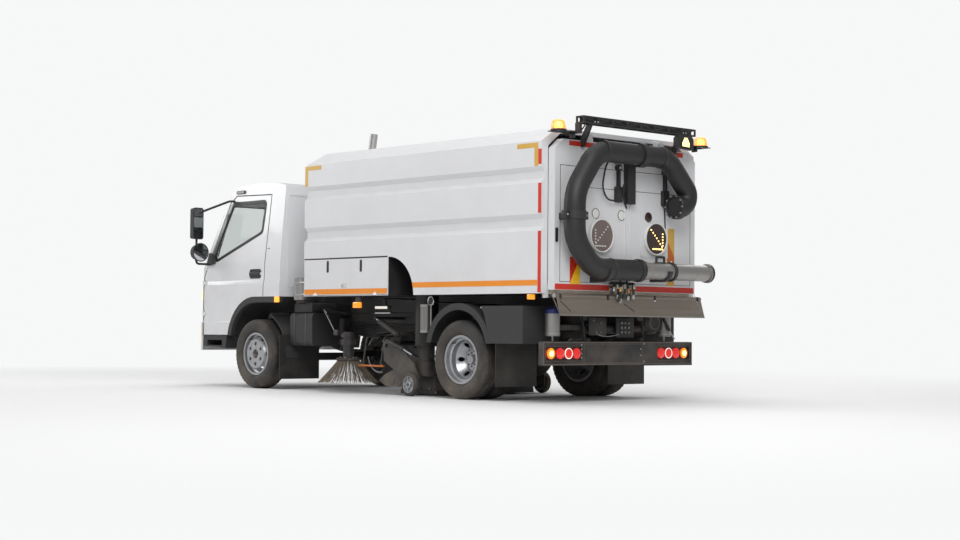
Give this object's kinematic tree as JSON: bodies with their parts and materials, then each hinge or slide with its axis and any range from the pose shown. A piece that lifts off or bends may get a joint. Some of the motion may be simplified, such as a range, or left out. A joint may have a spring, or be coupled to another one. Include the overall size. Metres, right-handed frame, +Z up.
{
  "type": "street sweeper truck",
  "caption": "Forward-control lorry with a tipping suction hopper, side brushes, pick-up head on castors and a wander hose on its rear door.",
  "frame": {"origin": "on the ground, under the middle of the overall length and width", "axes": "+X forward, +Y to the left, +Z up"},
  "size_m": [6.1608, 2.5, 2.8077],
  "materials": {
    "cab_white": "gloss white paint",
    "hopper_white": "gloss white paint",
    "frame_black": "satin black chassis paint",
    "engine_grey": "cast iron, oily",
    "black_plastic": "grained black plastic",
    "bumper_plastic": "white moulded bumper",
    "rubber_black": "black rubber",
    "tyre_black": "tyre rubber",
    "wheel_silver": "silver wheel paint",
    "clear_glass": "tinted safety glass",
    "lamp_clear": "clear lamp lens",
    "lamp_red": "red and amber lamp lenses",
    "lamp_amber": "amber beacon lenses",
    "alloy": "brushed aluminium",
    "bare_steel": "worn steel",
    "bristle": "steel wire bristles"
  },
  "bodies": {
    "chassis": {"chassis_frame": "frame_black", "cross_members": "frame_black", "leaf_springs": "frame_black", "front_axle": "frame_black", "rear_axle": "frame_black", "front_bumper": "bumper_plastic", "mudguards": "black_plastic", "mudflaps": "rubber_black", "rear_bumper": "frame_black", "tail_lamps": "lamp_red", "engine_block": "engine_grey", "side_tanks": "black_plastic", "air_tanks": "alloy", "suction_hoses": "rubber_black"},
    "cab": {"cab_shell": "cab_white", "cab_glass": "clear_glass", "cab_interior": "black_plastic", "headlamps": "lamp_clear"},
    "hopper": {"hopper_body": "hopper_white", "roof_pipe": "bare_steel"},
    "tailgate": {"rear_door": "hopper_white", "wander_hose": "rubber_black", "nozzle_tube": "alloy", "hose_carrier": "frame_black", "light_bar": "frame_black", "signal_lamps": "lamp_amber"},
    "chute": {"tail_chute": "bare_steel"},
    "head": {"pickup_head": "frame_black"},
    "steer_left": {"knuckle_left": "frame_black"},
    "wheel_front_left": {"front_wheel_left": "wheel_silver", "front_tyre_left": "tyre_black"},
    "wheels_rear_left": {"rear_wheels_left": "wheel_silver", "rear_tyres_left": "tyre_black"},
    "door_left": {"cab_door_left": "cab_white", "door_glass_left": "clear_glass", "mirror_left": "black_plastic"},
    "flap_left": {"locker_flap_left": "hopper_white"},
    "castor_wheel_left": {"castor_left": "tyre_black"},
    "arm_left": {"brush_arm_left": "frame_black"},
    "brush_left": {"side_brush_left": "bristle"},
    "steer_right": {"knuckle_right": "frame_black"},
    "wheel_front_right": {"front_wheel_right": "wheel_silver", "front_tyre_right": "tyre_black"},
    "wheels_rear_right": {"rear_wheels_right": "wheel_silver", "rear_tyres_right": "tyre_black"},
    "door_right": {"cab_door_right": "cab_white", "door_glass_right": "clear_glass", "mirror_right": "black_plastic"},
    "flap_right": {"locker_flap_right": "hopper_white"},
    "castor_wheel_right": {"castor_right": "tyre_black"},
    "arm_right": {"brush_arm_right": "frame_black"},
    "brush_right": {"side_brush_right": "bristle"}
  },
  "joints": [
    {"name": "steering_left", "type": "hinge", "parent": "chassis", "child": "steer_left", "pos_m": [1.8815, 0.735, 0.3835], "axis": [0, 0, 1], "range_deg": [-35, 35]},
    {"name": "front_spin_left", "type": "hinge", "parent": "steer_left", "child": "wheel_front_left", "pos_m": [1.8815, 0.892, 0.3835], "axis": [0, 1, 0], "continuous": true},
    {"name": "rear_spin_left", "type": "hinge", "parent": "chassis", "child": "wheels_rear_left", "pos_m": [-1.5785, 0.81, 0.3835], "axis": [0, 1, 0], "continuous": true},
    {"name": "door_swing_left", "type": "hinge", "parent": "cab", "child": "door_left", "pos_m": [2.9215, 0.985, 1], "axis": [0, 0, -1], "range_deg": [0, 70]},
    {"name": "flap_drop_left", "type": "hinge", "parent": "hopper", "child": "flap_left", "pos_m": [0.1715, 1.068, 1.022], "axis": [-1, 0, 0], "range_deg": [0, 90]},
    {"name": "castor_spin_left", "type": "hinge", "parent": "head", "child": "castor_wheel_left", "pos_m": [-0.7275, 0.93, 0.118], "axis": [0, 1, 0], "continuous": true},
    {"name": "brush_swing_left", "type": "hinge", "parent": "chassis", "child": "arm_left", "pos_m": [0.9015, 0.52, 0.5], "axis": [0, 0, -1], "range_deg": [0, 20]},
    {"name": "brush_spin_left", "type": "hinge", "parent": "arm_left", "child": "brush_left", "pos_m": [0.4015, 0.83, 0.335], "axis": [0, 0, 1], "continuous": true},
    {"name": "steering_right", "type": "hinge", "parent": "chassis", "child": "steer_right", "pos_m": [1.8815, -0.735, 0.3835], "axis": [0, 0, 1], "range_deg": [-35, 35]},
    {"name": "front_spin_right", "type": "hinge", "parent": "steer_right", "child": "wheel_front_right", "pos_m": [1.8815, -0.892, 0.3835], "axis": [0, 1, 0], "continuous": true},
    {"name": "rear_spin_right", "type": "hinge", "parent": "chassis", "child": "wheels_rear_right", "pos_m": [-1.5785, -0.81, 0.3835], "axis": [0, 1, 0], "continuous": true},
    {"name": "door_swing_right", "type": "hinge", "parent": "cab", "child": "door_right", "pos_m": [2.9215, -0.985, 1], "axis": [0, 0, 1], "range_deg": [0, 70]},
    {"name": "flap_drop_right", "type": "hinge", "parent": "hopper", "child": "flap_right", "pos_m": [0.1715, -1.068, 1.022], "axis": [1, 0, 0], "range_deg": [0, 90]},
    {"name": "castor_spin_right", "type": "hinge", "parent": "head", "child": "castor_wheel_right", "pos_m": [-0.7275, -0.93, 0.118], "axis": [0, 1, 0], "continuous": true},
    {"name": "brush_swing_right", "type": "hinge", "parent": "chassis", "child": "arm_right", "pos_m": [0.9015, -0.52, 0.5], "axis": [0, 0, 1], "range_deg": [0, 20]},
    {"name": "brush_spin_right", "type": "hinge", "parent": "arm_right", "child": "brush_right", "pos_m": [0.4015, -0.83, 0.335], "axis": [0, 0, 1], "continuous": true},
    {"name": "cab_tilt", "type": "hinge", "parent": "chassis", "child": "cab", "pos_m": [3.0115, 0, 0.7], "axis": [0, 1, 0], "range_deg": [0, 45]},
    {"name": "hopper_tip", "type": "hinge", "parent": "chassis", "child": "hopper", "pos_m": [-2.5785, 0, 0.93], "axis": [0, -1, 0], "range_deg": [0, 48]},
    {"name": "tailgate_lift", "type": "hinge", "parent": "hopper", "child": "tailgate", "pos_m": [-2.7665, 0, 2.495], "axis": [0, 1, 0], "range_deg": [0, 75]},
    {"name": "chute_swing", "type": "hinge", "parent": "hopper", "child": "chute", "pos_m": [-2.8465, 0, 0.992], "axis": [0, 1, 0], "range_deg": [0, 50]},
    {"name": "head_lift", "type": "hinge", "parent": "chassis", "child": "head", "pos_m": [0.1215, 0, 0.52], "axis": [0, 1, 0], "range_deg": [0, 8]}
  ],
  "couplings": [
    {"joint": "steering_right", "follows": "steering_left", "ratio": 1}
  ]
}
